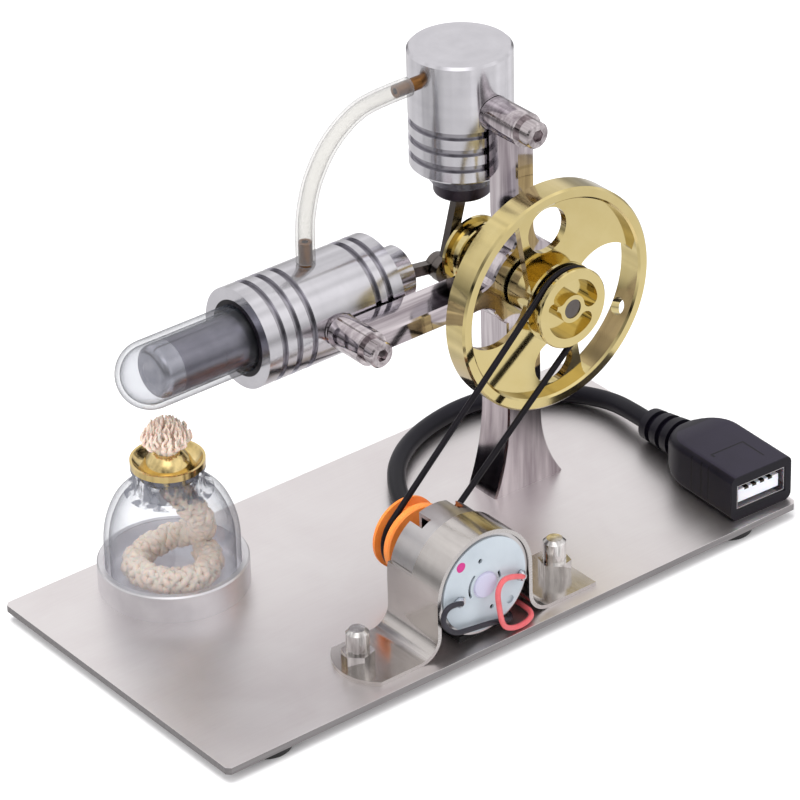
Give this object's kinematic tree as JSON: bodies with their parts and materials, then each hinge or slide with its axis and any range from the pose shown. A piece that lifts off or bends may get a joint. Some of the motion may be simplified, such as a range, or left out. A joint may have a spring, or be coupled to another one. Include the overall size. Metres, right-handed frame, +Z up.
{
  "type": "stirling engine model",
  "caption": "Desk-top hot-air engine on a steel plate: brass flywheel, two turned cylinders, glass hot cap, spirit lamp, and a belt-driven generator with a USB outlet lead.",
  "frame": {"origin": "Centre of the base plate's outline, on the surface that the rubber feet stand on", "axes": "+X along the plate from the lamp to the flywheel, +Y from the generator to the cylinders, +Z up"},
  "size_m": [0.1409, 0.072, 0.0939],
  "materials": {
    "brushed_plate": "brushed",
    "foot_rubber": "matte",
    "bright_plating": "polished",
    "zinc_steel": "satin",
    "yellow_brass": "polished",
    "turned_aluminium": "turned",
    "clear_glass": "clear",
    "graphite": "satin",
    "dark_steel": "satin",
    "bronze": "satin",
    "silicone": "translucent",
    "black_rubber": "satin",
    "strap_steel": "satin",
    "pale_plastic": "satin",
    "orange_plastic": "satin",
    "ferrite": "matte",
    "red_sleeve": "satin",
    "black_plastic": "satin",
    "white_plastic": "gloss",
    "gold_contact": "polished",
    "cotton": "fibrous"
  },
  "bodies": {
    "base": {"base_plate": "brushed_plate", "rubber_feet": "foot_rubber", "plate_screws": "zinc_steel", "engine_frame": "bright_plating", "cylinder_bolts": "bright_plating", "bolt_washers": "bright_plating", "bolt_spacer": "bright_plating", "bearing_outer_rings": "zinc_steel", "bearing_balls": "zinc_steel", "bearing_shields": "dark_steel", "displacer_cylinder": "turned_aluminium", "displacer_sleeve": "turned_aluminium", "guide_bush": "bronze", "hot_cap": "clear_glass", "hot_cap_seal": "black_rubber", "power_cylinder": "turned_aluminium", "cylinder_liner": "clear_glass", "hose_nipples": "bronze", "silicone_hose": "silicone", "motor_can": "zinc_steel", "motor_end_cap": "pale_plastic", "motor_terminals": "zinc_steel", "motor_bushes": "bronze", "motor_magnets": "ferrite", "motor_pad": "black_rubber", "motor_strap": "strap_steel", "strap_studs": "zinc_steel", "strap_cap_nuts": "bright_plating", "drive_belt": "black_rubber", "usb_body": "black_plastic", "usb_shell": "zinc_steel", "usb_tongue": "white_plastic", "usb_contacts": "gold_contact", "usb_cable": "black_plastic", "red_wire": "red_sleeve", "black_wire": "black_plastic", "lamp_seat": "turned_aluminium"},
    "crankshaft": {"main_shaft": "dark_steel", "shaft_collars": "yellow_brass", "set_screws": "dark_steel", "flywheel": "yellow_brass", "drive_pulley": "yellow_brass", "crank_disc": "yellow_brass", "bearing_inner_rings": "zinc_steel"},
    "piston": {"power_piston": "graphite", "wrist_pin": "zinc_steel"},
    "power_rod": {"power_rod": "dark_steel", "crank_pin_inner": "zinc_steel"},
    "displacer": {"displacer": "turned_aluminium", "displacer_cap": "turned_aluminium", "displacer_rod": "zinc_steel", "link_pin": "zinc_steel"},
    "displacer_link": {"displacer_link": "dark_steel", "crank_pin_outer": "zinc_steel"},
    "generator_rotor": {"motor_shaft": "zinc_steel", "motor_armature": "dark_steel", "generator_pulley": "orange_plastic"},
    "lamp": {"lamp_bottle": "clear_glass"},
    "wick": {"wick_holder": "yellow_brass", "wick_tuft": "cotton", "wick_coil": "cotton"}
  },
  "joints": [
    {"name": "crank_spin", "type": "hinge", "parent": "base", "child": "crankshaft", "pos_m": [0.034, 0.0076, 0.0498], "axis": [0, 1, 0], "continuous": true},
    {"name": "generator_spin", "type": "hinge", "parent": "base", "child": "generator_rotor", "pos_m": [-0.007, -0.0104, 0.0153], "axis": [0, 1, 0], "continuous": true},
    {"name": "piston_slide", "type": "slide", "parent": "base", "child": "piston", "axis": [0, 0, 1], "range_m": [-0.00326, 0.00974]},
    {"name": "power_rod_swing", "type": "hinge", "parent": "piston", "child": "power_rod", "pos_m": [0.034, 0.0214, 0.06956], "axis": [0, 1, 0], "range_deg": [-31.61, 1.23]},
    {"name": "displacer_slide", "type": "slide", "parent": "base", "child": "displacer", "axis": [1, 0, 0], "range_m": [-0.00064, 0.01236]},
    {"name": "displacer_link_swing", "type": "hinge", "parent": "displacer", "child": "displacer_link", "pos_m": [0.01034, 0.0235, 0.0498], "axis": [0, 1, 0], "range_deg": [-29.28, 13.56]},
    {"name": "lamp_lift", "type": "slide", "parent": "base", "child": "lamp", "axis": [0, 0, 1], "range_m": [0, 0.0018]},
    {"name": "wick_holder_turn", "type": "hinge", "parent": "lamp", "child": "wick", "pos_m": [-0.0404, 0.0211, 0.0295], "axis": [0, 0, 1], "continuous": true}
  ],
  "couplings": [
    {"joint": "generator_spin", "follows": "crank_spin", "ratio": 1.1692}
  ]
}
